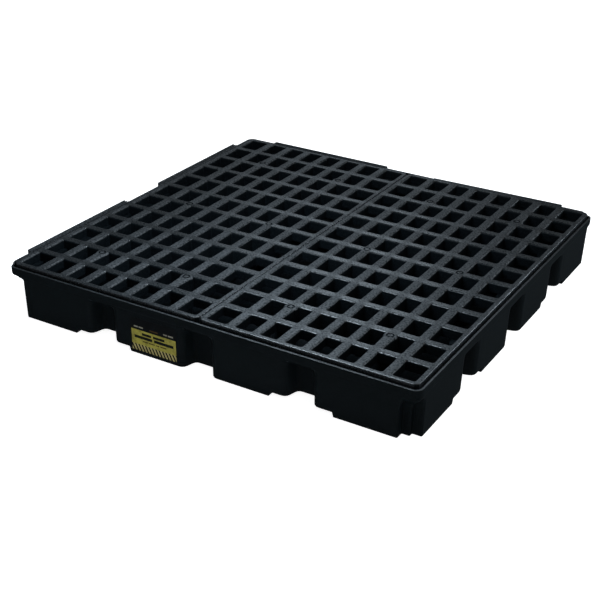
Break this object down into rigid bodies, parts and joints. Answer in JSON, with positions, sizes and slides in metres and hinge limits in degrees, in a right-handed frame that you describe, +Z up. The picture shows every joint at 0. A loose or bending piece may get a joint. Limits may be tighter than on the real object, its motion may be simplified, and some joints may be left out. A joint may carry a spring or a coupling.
{
  "type": "spill containment pallet",
  "caption": "Low square spill pallet: a moulded sump tray with fluted walls and joining tabs, under two lift-out deck grates side by side.",
  "frame": {"origin": "on the floor, at the centre of the whole outline", "axes": "+Z up; +X to the right along the wall with the label, which faces -Y; +Y towards the rear"},
  "size_m": [1.334, 1.308, 0.165],
  "materials": {
    "tray_plastic": "black moulded polyethylene, satin, with a fine grain on the tabs and rim",
    "grate_plastic": "black moulded polyethylene with a grained top that looks dark grey",
    "label_film": "printed yellow and black film, satin"
  },
  "bodies": {
    "tray": {"tray": "tray_plastic", "grate_posts": "tray_plastic", "hazard_label": "label_film"},
    "left_grate": {"left_grate": "grate_plastic"},
    "right_grate": {"right_grate": "grate_plastic"}
  },
  "joints": [
    {"name": "left_grate_lift", "type": "slide", "parent": "tray", "child": "left_grate", "axis": [0, 0, 1], "range_m": [0, 0.2]},
    {"name": "right_grate_lift", "type": "slide", "parent": "tray", "child": "right_grate", "axis": [0, 0, 1], "range_m": [0, 0.2]}
  ]
}
